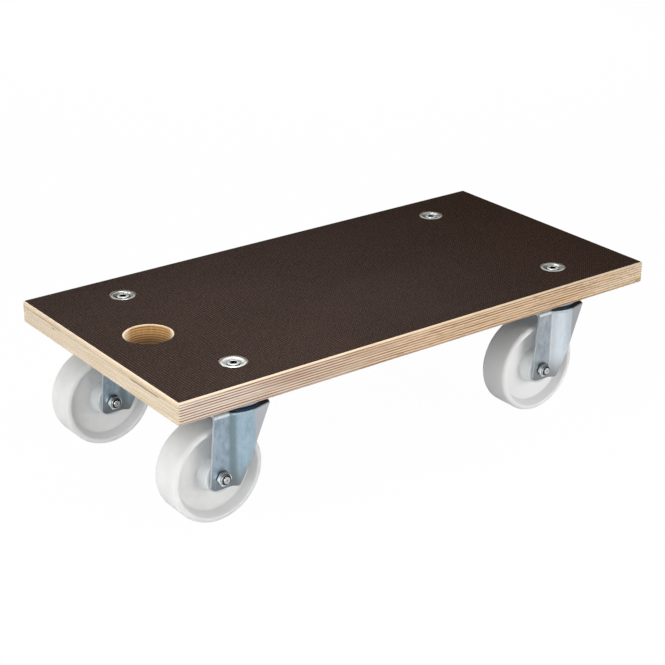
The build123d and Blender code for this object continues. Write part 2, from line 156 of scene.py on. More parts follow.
# Fasteners
TURN_STEPS = 48
TURNS = [2 * pi * step / TURN_STEPS for step in range(TURN_STEPS)]
BOLT_RADIUS = 4.0 * MM
THREAD_PITCH = 1.25 * MM
THREAD_DEPTH = 0.6 * MM
THREAD_LENGTH = 14.0 * MM
THREAD_SAMPLES = 8
THREAD_ROOT_SHARE = 0.85
THREAD_FLANK_SHARE = 0.65
TIP_CHAMFER = 0.8 * MM
CENTRE_MARK = 0.6 * MM
HEX_ACROSS_FLATS = 13.0 * MM
HEX_CHAMFER_SHARE = 0.95
HEX_CHAMFER_SLOPE = 0.5
HEX_HEAD_HEIGHT = 5.3 * MM
NUT_HEX_HEIGHT = 4.8 * MM
NUT_COLLAR_RADIUS = 5.3 * MM
NUT_COLLAR_ROUND = 0.7 * MM
NUT_BORE = 4.1 * MM
INSERT_RADIUS = 4.55 * MM
INSERT_DEPTH = 1.7 * MM
INSERT_SINK = 0.4 * MM
INSERT_SIDE_GAP = 0.02 * MM
INSERT_FLOOR_GAP = 0.05 * MM
INSERT_BORE_GAP = 0.03 * MM
SOCKET_ACROSS_FLATS = 6.0 * MM
SOCKET_DEPTH = 3.0 * MM
SOCKET_HEAD_RADIUS = 6.5 * MM
SOCKET_HEAD_HEIGHT = 4.4 * MM
SOCKET_HEAD_ROUND = 0.8 * MM
SMALL_CHAMFER = 0.3 * MM
SHARP_EDGE = radians(28.0)
ROUND_STEPS = 4

# Camera, fitted to the four corners of the deck in the photo
DECK_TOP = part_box("top_film")[1].z
PHOTO_SIDE = 665
SENSOR_WIDTH = 36.0
FOCAL_PIXELS = 1679.449
VIEW_AZIMUTH = -37.156
VIEW_ELEVATION = 23.632
VIEW_ROLL = 0.405
VIEW_DISTANCE = 1.75341
VIEW_SIDESTEP = -0.010493
VIEW_RISE = -0.054380

# Studio
FLOOR_REACH = 8.0
FLOOR_WHITE = (0.85, 0.85, 0.85, 1.0)
FLOOR_GLOW = 0.985
MIRRORED_FLOOR = 0.66
MIRRORED_SHEEN = 0.36
SHEEN_PLACE = (200.0, -340.0, 0.0)
SHEEN_REACH = (30.0, 170.0)
UNDER_DECK = (70.0, 190.0)
UNDER_DECK_SHADE = 0.45
AMBIENT = 0.2
FAR_WALL = (0.6, 0.8, 0.0)
FAR_WALL_EDGE = (0.1, 0.5)
FAR_WALL_GREY = 0.25
NEAR_WALL_GREY = 0.6
WALL_TOP = (0.375, 0.425)
LAMP_AIM = (0.0, 0.0, 0.1)
WHITE = (1.0, 1.0, 1.0, 1.0)
BLACK = (0.0, 0.0, 0.0, 1.0)


class Wire:
    """A socket of a material's node tree. Arithmetic on wires adds Math nodes to that tree."""

    def __init__(self, tree, socket=None):
        self.tree = tree
        self.socket = socket

    def node(self, kind, settings, inputs, output=0):
        """Adds a node: first its settings, then the values or links of its sockets."""
        made = self.tree.nodes.new("ShaderNode" + kind)
        for name, value in settings.items():
            setattr(made, name, value)
        for key, value in inputs.items():
            if isinstance(value, Wire):
                self.tree.links.new(value.socket, made.inputs[key])
            else:
                made.inputs[key].default_value = value
        return Wire(self.tree, made.outputs[output] if made.outputs else None)

    def math(self, operation, *operands):
        return self.node("Math", {"operation": operation}, dict(enumerate(operands)))

    def __add__(self, other):
        return self.math("ADD", self, other)

    def __radd__(self, other):
        return self.math("ADD", other, self)

    def __sub__(self, other):
        return self.math("SUBTRACT", self, other)

    def __rsub__(self, other):
        return self.math("SUBTRACT", other, self)

    def __mul__(self, other):
        return self.math("MULTIPLY", self, other)

    def __rmul__(self, other):
        return self.math("MULTIPLY", other, self)

    def __truediv__(self, other):
        return self.math("DIVIDE", self, other)

    def __abs__(self):
        return self.math("ABSOLUTE", self)

    def fract(self):
        return self.math("FRACT", self)

    def floor(self):
        return self.math("FLOOR", self)

    def sine(self):
        return self.math("SINE", self)

    def sign(self):
        return self.math("SIGN", self)

    def rise(self, low, high):
        """0 below low, 1 above high, and a smooth step between."""
        span = {"Value": self, "From Min": low, "From Max": high}
        return self.node("MapRange", {"interpolation_type": "SMOOTHSTEP"}, span)

    def between(self, low, high, edge):
        """1 from low to high, fading to 0 over the width of an edge on both sides."""
        return self.rise(low - edge, low) * (1 - self.rise(high, high + edge))

    def part(self, axis):
        return self.node("SeparateXYZ", {}, {0: self}, axis)

    def scaled(self, factors):
        return self.node("VectorMath", {"operation": "MULTIPLY"}, {0: self, 1: factors})

    def distance(self, point):
        return self.node("VectorMath", {"operation": "DISTANCE"}, {0: self, 1: point}, "Value")

    def noise(self, scale, detail=2.0, roughness=0.5):
        inputs = {"Vector": self, "Scale": scale, "Detail": detail, "Roughness": roughness}
        return self.node("TexNoise", {}, inputs)

    def tint(self, low, high):
        """Colour that goes from low to high as this wire goes from 0 to 1."""
        return self.node("Mix", {"data_type": "RGBA"}, {0: self, 6: low, 7: high}, 2)

    def toward(self, colour, share):
        """This colour, moved towards another one by a share."""
        return self.node("Mix", {"data_type": "RGBA"}, {0: share, 6: self, 7: colour}, 2)

    def bump(self, depth, strength=1.0):
        """Normal of a surface that this wire raises by up to depth, in metres."""
        return self.node("Bump", {}, {"Height": self, "Distance": depth, "Strength": strength})


def srgb(red, green, blue):
    """Linear colour of a screen colour that is given as 0 to 255."""
    def linear(level):
        share = level / 255
        return share / 12.92 if share <= 0.04045 else ((share + 0.055) / 1.055) ** 2.4

    return (linear(red), linear(green), linear(blue), 1.0)


def new_finish(name):
    """A material with an empty tree: the material, its first wire, and the place on the piece in mm."""
    material = bpy.data.materials.new(name)
    material.use_nodes = True
    material.node_tree.nodes.clear()
    tree = Wire(material.node_tree)
    place = tree.node("TexCoord", {}, {}, "Object").scaled((1 / MM, 1 / MM, 1 / MM))
    return material, tree, place


def coat(tree, inputs):
    """Ends a material in one principled shader."""
    shader = tree.node("BsdfPrincipled", {}, inputs)
    tree.node("OutputMaterial", {}, {"Surface": shader})


def plies(tree, place):
    """Layers of the board: height over its foot, drift, crosswise plies, and each ply's own place."""
    height = place.part(2) - CORE_FOOT
    drift = place.scaled((0.012, 0.012, 0.05)).noise(1.0, 3.0) - 0.5
    pair = (height / CORE_THICKNESS * PLY_COUNT + drift * 0.6) / 2
    within = pair.fract()
    crosswise = within.between(CROSSWISE_START, CROSSWISE_END, CROSSWISE_FADE)
    number = pair.floor() * 2 + within.rise(CROSSWISE_START, CROSSWISE_START + HARD_STEP)
    shuffle = {axis: number * step for axis, step in enumerate(PLY_SHUFFLE)}
    seed = tree.node("CombineXYZ", {}, shuffle)
    own_place = tree.node("VectorMath", {"operation": "ADD"}, {0: place, 1: seed})
    return height, drift, crosswise, own_place


def long_edge_wood(place, own_place, height, crosswise, pores, patches, on_sides):
    """Long edges: rosy to honey wood, end-on plies, flecks, torn dashes, a bruise at the right, and painted
    light that makes the right end paler and cooler.
    """
    along = place.part(0)
    # Painted light: the right end turns cooler and paler, with golden streaks in that stretch.
    warmth = along.rise(*WARM_FROM) * (1 - 0.4 * along.rise(*COOLER_PAINTED_LIGHT_FROM))
    painted_light_stretch = along.rise(*PAINTED_LIGHT_FROM) * on_sides
    brown_stretch = along.between(*BROWN_STRETCH, BROWN_FADE) * on_sides
    bruise = along.rise(*BRUISE_FROM) * (1 - height.rise(*BRUISE_TOP)) * on_sides
    torn = 0.2 + 0.8 * along.rise(*TORN_FROM)
    end_on = crosswise * on_sides * (0.45 + 0.55 * patches.rise(0.35, 0.6))

    streaks = own_place.scaled((0.02, 0.02, 1.6)).noise(1.0, 4.0, 0.6)
    flecks = own_place.scaled((0.06, 0.06, 1.4)).noise(1.0, 3.0, 0.7).rise(0.56, 0.68)
    golden = own_place.scaled((0.03, 0.03, 0.7)).noise(1.0, 3.0, 0.6).rise(0.5, 0.64)
    scores = own_place.scaled((0.12, 0.12, 1.2)).noise(1.0, 3.0, 0.6).rise(0.4, 0.6)
    dashes = own_place.scaled((0.16, 0.16, 2.2)).noise(1.0, 2.0, 0.6).rise(0.6, 0.68)

    rosy = streaks.rise(0.25, 0.75).tint(srgb(244, 229, 214), srgb(218, 197, 179))
    honey = streaks.rise(0.25, 0.75).tint(srgb(244, 221, 190), srgb(214, 174, 132))
    end_grain = pores.rise(0.3, 0.7).tint(srgb(142, 98, 72), srgb(98, 60, 40))
    colour = rosy.toward(honey, warmth)
    colour = colour.toward(end_grain, end_on)
    colour = colour.toward(srgb(112, 78, 50), flecks * on_sides * (0.2 + 0.6 * warmth))
    colour = colour.toward(srgb(246, 230, 200), painted_light_stretch * 0.3)
    colour = colour.toward(srgb(204, 150, 84), golden * painted_light_stretch * 0.75)
    colour = colour.toward(srgb(120, 78, 44), bruise * scores * 0.8)
    colour = colour.toward(srgb(164, 128, 98), brown_stretch * streaks.rise(0.3, 0.6) * 0.4)
    return colour.toward(srgb(86, 58, 36), dashes * on_sides * torn)


def short_end_wood(place, own_place, height, drift, crosswise):
    """Short ends: pale bands with fine lines, grey blotches, speckle, and one tan ply near the top."""
    bands = own_place.scaled((0.0, 0.012, 0.3)).noise(1.0, 2.0)
    lines = own_place.scaled((0.0, 0.03, 1.3)).noise(1.0, 4.0, 0.65)
    blotches = own_place.scaled((0.0, 0.06, 0.3)).noise(1.0, 3.0, 0.6)
    speckle = place.scaled((0.0, 0.55, 0.9)).noise(1.0, 3.0, 0.7)
    tan_ply = (height + drift * 1.5).between(*TAN_PLY, TAN_FADE)
    colour = bands.rise(0.35, 0.7).tint(srgb(233, 219, 199), srgb(214, 194, 162))
    colour = colour.toward(srgb(188, 162, 124), lines.rise(0.5, 0.75) * 0.7)
    colour = colour.toward(srgb(204, 197, 186), blotches.rise(0.48, 0.66) * 0.5)
    colour = colour.toward(srgb(198, 168, 122), crosswise * 0.25)
    colour = colour.toward(srgb(180, 158, 128), speckle.rise(0.5, 0.68) * 0.7)
    colour = colour.toward(srgb(244, 236, 226), (1 - speckle.rise(0.3, 0.46)) * 0.6)
    return colour.toward(srgb(184, 152, 106), tan_ply * lines.rise(0.35, 0.6) * 0.5)


def open_seams(place, drift):
    """How open the left end is: its seams and its pin knot, and 0 elsewhere."""
    opening = 1 - place.distance(PIN_KNOT).rise(*PIN_KNOT_EDGE)
    for start, end, height, depth in SEAMS:
        off_line = abs(place.part(2) - height + drift * 2.0)
        stretch = place.part(1).between(start, end, SEAM_FADE)
        opening = opening + (1 - off_line.rise(*SEAM_HALF_WIDTH)) * stretch * depth
    return opening * (1 - place.part(0).rise(*LEFT_END))


def bored_wood(place, height, crosswise, patches):
    """Wall of the grip hole: drilled plies with painted shade towards the foot, a tan lip, and painted
    light on two sides.
    """
    drill_marks = place.scaled((0.7, 0.7, 0.08)).noise(1.0, 3.0, 0.7).rise(0.35, 0.7)
    ply_lines = crosswise * (0.35 + 0.65 * patches.rise(0.3, 0.6))
    across = (place.part(0) - GRIP_AXIS[0]) * LIT_SIDES[0] + place.part(1) * LIT_SIDES[1]
    lit_sides = abs(across).rise(*LIT_SIDES_FROM) * height.rise(*LIT_SIDES_HEIGHT)
    colour = (ply_lines * 0.75 + drill_marks * 0.25).tint(srgb(208, 164, 102), srgb(116, 72, 30))
    # Painted shade, darker towards the foot of the hole.
    colour = colour.toward(srgb(82, 48, 16), (1 - height.rise(*HOLE_SHADE)) * 0.75)
    colour = colour.toward(srgb(178, 144, 100), height.rise(*HOLE_LIP) * 0.9)
    # Painted light on the hole's left and right sides, high up.
    return colour.toward(srgb(232, 212, 180), lit_sides * 0.85)


def birch_plywood():
    """Bare edges of the board: long edges, short ends with open seams, and the wall of the grip hole."""
    material, tree, place = new_finish("birch_plywood_edge")
    facing = tree.node("TexCoord", {}, {}, "Normal")
    on_ends = abs(facing.part(0)).rise(*EDGE_FACING)
    on_sides = abs(facing.part(1)).rise(*EDGE_FACING)
    in_hole = 1 - place.scaled((1.0, 1.0, 0.0)).distance(GRIP_AXIS).rise(*HOLE_WALL)

    height, drift, crosswise, own_place = plies(tree, place)
    pores = own_place.scaled((2.2, 2.2, 1.1)).noise(1.0, 2.0, 0.7)
    patches = own_place.scaled((0.012, 0.012, 0.1)).noise(1.0, 2.0)
    opening = open_seams(place, drift)

    colour = long_edge_wood(place, own_place, height, crosswise, pores, patches, on_sides)
    colour = colour.toward(short_end_wood(place, own_place, height, drift, crosswise), on_ends)
    colour = colour.toward(srgb(226, 205, 176), height.rise(*FACE_VENEER) * 0.8)
    colour = colour.toward(srgb(190, 174, 152), (1 - height.rise(*SCUFFED_FOOT)) * 0.5)
    colour = colour.toward(srgb(116, 82, 48), opening)
    colour = colour.toward(bored_wood(place, height, crosswise, patches), in_hole * 0.95)

    relief = pores * 0.5 - crosswise * 0.4 - opening
    coat(tree, {
        "Base Color": colour,
        "Roughness": 0.62 + 0.2 * pores,
        "Specular IOR Level": 0.3,
        "Normal": relief.bump(0.1 * MM, 0.6),
    })
    return material


def phenolic_film(name, imprint):
    """Dark resin film; imprint is the strength of the anti-slip mesh pressed into it."""
    material, tree, place = new_finish(name)
    across = (place.part(0) * (pi / MESH_PITCH)).sine()
    along = (place.part(1) * (pi / MESH_PITCH)).sine()
    cells = abs(across).rise(0.2, 0.9) * abs(along).rise(0.2, 0.9)
    cloud = place.scaled((0.006, 0.009, 0.0)).noise(1.0, 3.0)
    grit = place.noise(0.7, 2.0, 0.6)
    base = cloud.rise(0.3, 0.7).tint(srgb(45, 35, 31), srgb(51, 40, 36))
    base = base.toward(srgb(53, 34, 25), place.part(0).rise(*REDDER_FROM) * 0.6)
    worn = cells * grit.rise(0.3, 0.65) * imprint
    relief = cells * imprint + grit * 0.25
    coat(tree, {
        "Base Color": base.toward(srgb(98, 84, 78), worn * 0.75),
        "Roughness": 0.5 + 0.15 * grit,
        "Specular IOR Level": 0.0,
        "Normal": relief.bump(0.2 * MM, 0.9),
    })
    return material


def sheet_zinc():
    """Blue-passivated zinc on the drawn forks, in painted reflections: the wings darker than the cup, a
    dark fold between them and neutral grey rear flats; the fork at the near right corner painted lighter, a
    painted highlight on the wings' top bend, and painted shade on the foot."""
    material, tree, place = new_finish("blue_zinc_sheet")
    facing = tree.node("TexCoord", {}, {}, "Normal")
    along = place.part(0) - place.part(0).sign() * SWIVEL.x
    wing = 1 - along.rise(*WING_EDGE)
    fold = along.between(*FOLD_BAND, FOLD_FADE)
    rear = along.rise(*CREASE)
    foot = 1 - place.part(2).rise(*SHADED_FOOT)
    bend_highlight = wing * place.part(2).rise(*CROWN_BEND)
    cut_edge = abs(facing.part(0)).rise(*CUT_EDGE_FACING)
    lit_corner = place.part(0).rise(*MIDDLE) * (1 - place.part(1).rise(*MIDDLE))

    cloud = place.noise(0.05, 2.0, 0.5)
    blotches = place.scaled((1.0, 1.0, 0.55)).noise(0.22, 3.0, 0.6)
    spangle = place.noise(0.8, 3.0, 0.65)
    marks = place.scaled((0.7, 0.7, 0.03)).noise(1.0, 3.0, 0.6)
    broad = cloud.rise(0.25, 0.75) * 0.2 + blotches.rise(0.32, 0.68) * 0.4
    shade = broad + spangle.rise(0.3, 0.7) * 0.25 + marks.rise(0.3, 0.7) * 0.15

    # Painted reflections: the cup, the darker wings, the dark fold and the neutral grey rear flats stand
    # for what each one mirrors.
    colour = shade.tint(srgb(170, 202, 221), srgb(214, 237, 252))
    colour = colour.toward(shade.tint(srgb(146, 168, 186), srgb(216, 235, 248)), wing)
    colour = colour.toward(srgb(134, 153, 160), fold * 0.8)
    colour = colour.toward(srgb(222, 223, 226), rear * 0.85)
    # Painted light: the fork at the near right corner is lighter and less blue, as in a brighter
    # reflection.
    lit_sheet = shade.tint(srgb(228, 234, 240), srgb(246, 249, 252))
    lit_sheet = lit_sheet.toward(shade.tint(srgb(158, 168, 172), srgb(212, 220, 224)), wing)
    lit_sheet = lit_sheet.toward(srgb(194, 196, 198), rear)
    colour = colour.toward(lit_sheet, lit_corner * 0.75)
    # Painted highlight on the wings' top bend, less metallic so that the lamps light it, and painted shade
    # on the foot.
    colour = colour.toward(srgb(240, 244, 246), bend_highlight)
    colour = colour.toward(srgb(138, 139, 139), foot * 0.75)
    colour = colour.toward(srgb(206, 210, 212), cut_edge)
    coat(tree, {
        "Base Color": colour,
        "Metallic": 1.0 - 0.6 * tree.math("MAXIMUM", cut_edge, bend_highlight),
        "Roughness": 0.32 + 0.06 * wing + 0.12 * (spangle - 0.5) + 0.1 * (marks - 0.5),
        "Normal": (spangle * 0.5 + marks).bump(0.03 * MM, 0.35),
    })
    return material


def rosette_zinc():
    """Zinc of the dished washers: a softly crowned flange and painted shade in the gap round the bolt's
    head. The three washers away from the near left corner are painted dimmer, with a darker dish slope, for
    darker reflections; the near left one's slope is less metallic."""
    material, tree, place = new_finish("bright_zinc_rosette")
    offset = {0: abs(place.part(0)) - SWIVEL.x, 1: abs(place.part(1)) - SWIVEL.y}
    radius = tree.node("CombineXYZ", {}, offset).distance((0.0, 0.0, 0.0))
    spangle = place.noise(1.4, 3.0, 0.65)
    gap = radius.between(*HEAD_GAP_SHADE, DISH_FADE)
    slope = radius.between(*DISH_SLOPE, DISH_FADE)
    painted_dim = tree.math("MAXIMUM", place.part(0).rise(*MIDDLE), place.part(1).rise(*MIDDLE))
    from_crest = radius - CROWN_RADIUS
    colour = spangle.tint(srgb(222, 222, 218), srgb(242, 241, 237))
    # Painted reflection: the three washers away from the near left corner are dimmed, their dish slopes
    # most.
    colour = colour.toward(srgb(178, 180, 178), slope * painted_dim * 0.8)
    colour = colour.toward(srgb(168, 168, 163), painted_dim * 0.85)
    # Painted shade in the gap round the bolt's head.
    colour = colour.toward(srgb(52, 54, 54), gap * (0.55 + 0.3 * painted_dim))
    coat(tree, {
        "Base Color": colour,
        "Metallic": 1.0 - 0.7 * slope * (1 - painted_dim),
        "Roughness": 0.18 + 0.1 * spangle,
        "Normal": (from_crest * from_crest * -CROWN_CURVE).bump(MM),
    })
    return material


def plated(name, dark, light, roughness, crevices=(), mirror=1.0, upper_shade=0.0):
    """Plating on turned or pressed steel, with painted shade in its crevices, a mirror share, and painted
    shade on its +Y side.
    """
    material, tree, place = new_finish(name)
    cloud = place.noise(0.06, 2.0, 0.5)
    spangle = place.noise(1.4, 3.0, 0.65)
    shade = cloud.rise(0.25, 0.75) * 0.5 + spangle.rise(0.3, 0.7) * 0.5
    colour = shade.tint(dark, light)
    radius = place.scaled((1.0, 1.0, 0.0)).distance((0.0, 0.0, 0.0))
    for inner, outer, low, high in crevices:
        in_height = place.part(2).between(low, high, CREVICE_SHADE_FADE)
        crevice_shade = radius.between(inner, outer, CREVICE_SHADE_FADE) * in_height
        # Painted shade in the crevices: where parts meet, round the bolt ends and in the sockets.
        colour = colour.toward(srgb(22, 25, 27), crevice_shade * 0.95)
    # Painted shade on the upper side, standing for the dark underside of the deck mirrored there.
    colour = colour.toward(srgb(30, 36, 40), place.part(1).rise(*SHADED_UPPER_SIDE) * upper_shade)
    coat(tree, {
        "Base Color": colour,
        "Metallic": mirror,
        "Roughness": roughness + 0.08 * (spangle - 0.5),
        "Normal": spangle.bump(0.01 * MM, 0.2),
    })
    return material


def moulded_nylon(name, dark, light, milkiness=0.0, painted_wheel_light=0.0):
    """Moulded nylon, faintly grained: milkiness is the share of light that goes into it, and
    painted_wheel_light is how far a wheel's hub gets a painted bluish shade, its recess wall painted shade,
    and the right-hand wheels painted light."""
    material, tree, place = new_finish(name)
    cloud = place.noise(0.06, 3.0)
    grain = place.noise(2.4, 2.0, 0.6)
    along = place.part(0) - place.part(0).sign() * SWIVEL.x - AXLE.x
    from_axle = tree.node("CombineXYZ", {}, {0: along, 2: place.part(2) - AXLE.z})
    radius = from_axle.distance((0.0, 0.0, 0.0))
    colour = cloud.rise(0.3, 0.7).tint(dark, light)
    # Painted light and shade: the right-hand wheels whiter, a bluish shade on the hub, and a darker recess
    # wall.
    colour = colour.toward(srgb(255, 255, 254), place.part(0).rise(*MIDDLE) * painted_wheel_light)
    colour = colour.toward(srgb(168, 187, 194), (1 - radius.rise(*HUB_EDGE)) * painted_wheel_light)
    colour = colour.toward(srgb(214, 214, 215), radius.between(*RECESS_WALL, RECESS_FADE) * painted_wheel_light)
    coat(tree, {
        "Base Color": colour,
        "Roughness": 0.36 + 0.16 * grain,
        "Subsurface Weight": milkiness,
        "Subsurface Radius": MILKY_REACH,
        "Subsurface Scale": 1.0,
        "Specular IOR Level": 0.4,
        "Normal": grain.bump(0.03 * MM, 0.3),
    })
    return material


def dress(finish, names):
    """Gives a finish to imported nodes."""
    for name in names:
        piece = frame["nodes"][name]
        piece.data.materials.clear()
        piece.data.materials.append(finish)


def at_corners(piece):
    return [f"{corner}_{piece}" for corner in CORNERS]


zinc_tones = (srgb(206, 210, 212), srgb(232, 233, 232))
nut_tones = (srgb(230, 240, 243), srgb(248, 252, 252))
cap_shaded_tones = (srgb(128, 148, 172), srgb(160, 178, 200))
ball_tones = (srgb(190, 190, 192), srgb(210, 210, 212))
wheel_tones = (srgb(230, 230, 229), srgb(236, 236, 235))
insert_tones = (srgb(34, 38, 44), srgb(44, 48, 54))
bright_zinc = plated("bright_zinc_turned", *zinc_tones, 0.2)
nut_zinc = plated("bright_zinc_nut", *nut_tones, 0.12, NUT_CREVICE_SHADE, mirror=0.4, upper_shade=0.75)
axle_bolt_zinc = plated("bright_zinc_axle_bolt", *zinc_tones, 0.2, AXLE_BOLT_CREVICE_SHADE)
mount_bolt_zinc = plated("bright_zinc_mount_bolt", *zinc_tones, 0.2, MOUNT_BOLT_CREVICE_SHADE)
# The bearing caps' plating is painted dark blue-grey, for the shade under the deck.
cap_plating = plated("cap_plating_painted_dark", *cap_shaded_tones, 0.3, mirror=0.5)
ball_steel = plated("ball_steel_polished", *ball_tones, 0.12)
insert_nylon = moulded_nylon("insert_nylon_grey", *insert_tones)
wheel_nylon = moulded_nylon("white_nylon_moulded", *wheel_tones, milkiness=0.6, painted_wheel_light=0.6)

dress(birch_plywood(), ["plywood_core"])
dress(phenolic_film("phenolic_film_mesh", 1.0), ["top_film"])
dress(phenolic_film("phenolic_film_smooth", 0.0), ["bottom_film"])
dress(rosette_zinc(), ["rosette_washers"])
dress(bright_zinc, ["mount_washers", "mount_nuts"])
for hardware in ["axle_tube", "king_rivet", "lower_race"]:
    dress(bright_zinc, at_corners(hardware))
dress(sheet_zinc(), at_corners("fork"))
dress(cap_plating, at_corners("bearing_cap"))
for balls in ["upper_balls", "lower_balls"]:
    dress(ball_steel, at_corners(balls))
dress(wheel_nylon, at_corners("wheel"))


def level(height, radius):
    """Ring of a turned form that has one height and one radius all the way round."""
    return [(height, radius)] * TURN_STEPS


def hexagon_reach(turn, across_flats):
    """Distance from the axis to the side of a hexagon that has a corner at the start of the turn."""
    return across_flats / 2 / cos(turn % (pi / 3) - pi / 6)


def hexagon(height, across_flats):
    return [(height, hexagon_reach(turn, across_flats)) for turn in TURNS]


def chamfered_hexagon(end, inward):
    """Rings of a hexagon's end face and of the arcs where its chamfer meets the sides."""
    flat = HEX_ACROSS_FLATS / 2 * HEX_CHAMFER_SHARE
    reach = [hexagon_reach(turn, HEX_ACROSS_FLATS) for turn in TURNS]
    arcs = [(end + inward * (side - flat) * HEX_CHAMFER_SLOPE, side) for side in reach]
    return [level(end, flat), arcs]


def rounded_edge(end, inward, radius, round_radius):
    """Rings round a turned edge, from its end face to its side."""
    steps = [pi / 2 * step / ROUND_STEPS for step in range(ROUND_STEPS + 1)]
    return [
        level(end + inward * round_radius * (1 - cos(step)), radius - round_radius * (1 - sin(step)))
        for step in steps
    ]


def thread_radius(height, turn):
    """Radius of the thread at a height and a turn: flat crests, straight flanks and narrower roots."""
    phase = (height / THREAD_PITCH - turn / (2 * pi)) % 1.0
    from_crest = abs(2 * phase - 1)
    rise = min(1.0, max(0.0, (THREAD_ROOT_SHARE - from_crest) / THREAD_FLANK_SHARE))
    return BOLT_RADIUS - THREAD_DEPTH * (1 - rise)


def threaded_end(tip):
    """Rings of a bolt's thread out to its chamfered tip, with the turned centre mark on it."""
    count = round(THREAD_LENGTH / THREAD_PITCH * THREAD_SAMPLES)
    start = tip - THREAD_LENGTH
    rings = [level(start - THREAD_DEPTH, BOLT_RADIUS)]
    for step in range(count + 1):
        height = start + THREAD_LENGTH * step / count
        limit = BOLT_RADIUS - TIP_CHAMFER + tip - height
        rings.append([(height, min(limit, thread_radius(height, turn))) for turn in TURNS])
    return rings + [level(tip, CENTRE_MARK), level(tip - CENTRE_MARK / 2, CENTRE_MARK / 3)]


def turned_mesh(name, rings, ring_shaped):
    """Mesh over rings of (height, radius); a ring-shaped one closes on itself, others get end caps."""
    points = [
        (radius * cos(turn), radius * sin(turn), height)
        for ring in rings
        for (height, radius), turn in zip(ring, TURNS)
    ]
    faces = []
    for first in range(0 if ring_shaped else 1, len(rings)):
        upper = first * TURN_STEPS
        lower = (first - 1) % len(rings) * TURN_STEPS
        for step in range(TURN_STEPS):
            beside = (step + 1) % TURN_STEPS
            faces.append((lower + step, lower + beside, upper + beside, upper + step))
    if not ring_shaped:
        faces.append(tuple(range(TURN_STEPS)))
        faces.append(tuple(range(len(points) - TURN_STEPS, len(points))))
    mesh = bpy.data.meshes.new(name)
    mesh.from_pydata(points, [], faces)
    shape = bmesh.new()
    shape.from_mesh(mesh)
    bmesh.ops.recalc_face_normals(shape, faces=shape.faces)
    shape.to_mesh(mesh)
    shape.free()
    mesh.shade_smooth()
    mesh.set_sharp_from_angle(angle=SHARP_EDGE)
    return mesh


def turned_piece(name, rings, place, tilt, finish, ring_shaped=False):
    """Turned piece on its own axis: tilt is the turn about X that lays its height along that axis."""
    mesh = turned_mesh(name, rings, ring_shaped)
    mesh.materials.append(finish)
    piece = bpy.data.objects.new(name, mesh)
    piece.location = place
    piece.rotation_euler = (tilt, 0, 0)
    bpy.context.scene.collection.objects.link(piece)
    return piece


def hexagon_bolt(head, tip):
    """Rings of a hexagon bolt from its head's face to its tip."""
    seat = head + HEX_HEAD_HEIGHT
    rings = chamfered_hexagon(head, 1) + [hexagon(seat, HEX_ACROSS_FLATS), level(seat, BOLT_RADIUS)]
    return rings + threaded_end(tip)


def socket_bolt(head, tip):
    """Rings of a socket-head bolt from the floor of its socket to its tip."""
    seat = head + SOCKET_HEAD_HEIGHT
    mouth = SOCKET_ACROSS_FLATS / 2 / cos(pi / 6) + SMALL_CHAMFER / 2
    socket = [
        hexagon(head + SOCKET_DEPTH, SOCKET_ACROSS_FLATS),
        hexagon(head + SMALL_CHAMFER, SOCKET_ACROSS_FLATS),
        level(head, mouth),
    ]
    side = rounded_edge(head, 1, SOCKET_HEAD_RADIUS, SOCKET_HEAD_ROUND)
    underside = [level(seat, SOCKET_HEAD_RADIUS), level(seat, BOLT_RADIUS)]
    return socket + side + underside + threaded_end(tip)


def lock_nut(seat, top):
    """Rings of a lock nut: hexagon with both ends chamfered, collar, and the groove of its insert."""
    shoulder = seat + NUT_HEX_HEIGHT
    collar = list(reversed(rounded_edge(top, -1, NUT_COLLAR_RADIUS, NUT_COLLAR_ROUND)))
    return [
        level(seat + SMALL_CHAMFER, NUT_BORE),
        level(seat, NUT_BORE + SMALL_CHAMFER),
        *chamfered_hexagon(seat, 1),
        *reversed(chamfered_hexagon(shoulder, -1)),
        level(shoulder, NUT_COLLAR_RADIUS + SMALL_CHAMFER),
        level(shoulder + SMALL_CHAMFER, NUT_COLLAR_RADIUS),
        *collar,
        level(top, INSERT_RADIUS),
        level(top - INSERT_DEPTH, INSERT_RADIUS),
        level(top - INSERT_DEPTH, NUT_BORE),
    ]


def nut_insert(top):
    """Rings of the nylon locking ring in the nut's collar."""
    outer = INSERT_RADIUS - INSERT_SIDE_GAP
    low = top - INSERT_DEPTH + INSERT_FLOOR_GAP
    high = top - INSERT_SINK
    inner = BOLT_RADIUS + INSERT_BORE_GAP
    return [level(low, outer), level(high, outer), level(high, inner), level(low, inner)]


def axle_fasteners(corner):
    """Threaded axle bolt, lock nut and its insert on one fork; heights run along -Y from the nut's seat."""
    low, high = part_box(f"{corner}_axle_bolt")
    nut_low, nut_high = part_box(f"{corner}_axle_nut")
    axle = (low + high) / 2
    seat = (axle.x, nut_high.y, axle.z)
    along_axle = pi / 2
    nut_top = nut_high.y - nut_low.y
    bolt_rings = hexagon_bolt(nut_high.y - high.y, nut_high.y - low.y)
    nut_rings = lock_nut(0.0, nut_top)
    insert_rings = nut_insert(nut_top)
    bolt = turned_piece(f"{corner}_threaded_bolt", bolt_rings, seat, along_axle, axle_bolt_zinc)
    nut = turned_piece(f"{corner}_lock_nut", nut_rings, seat, along_axle, nut_zinc, ring_shaped=True)
    insert = turned_piece(
        f"{corner}_nut_insert", insert_rings, seat, along_axle, insert_nylon, ring_shaped=True
    )
    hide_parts(f"{corner}_axle_bolt")
    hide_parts(f"{corner}_axle_nut")
    for piece in [bolt, nut, insert]:
        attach(piece, f"{corner}_swivel_fork")


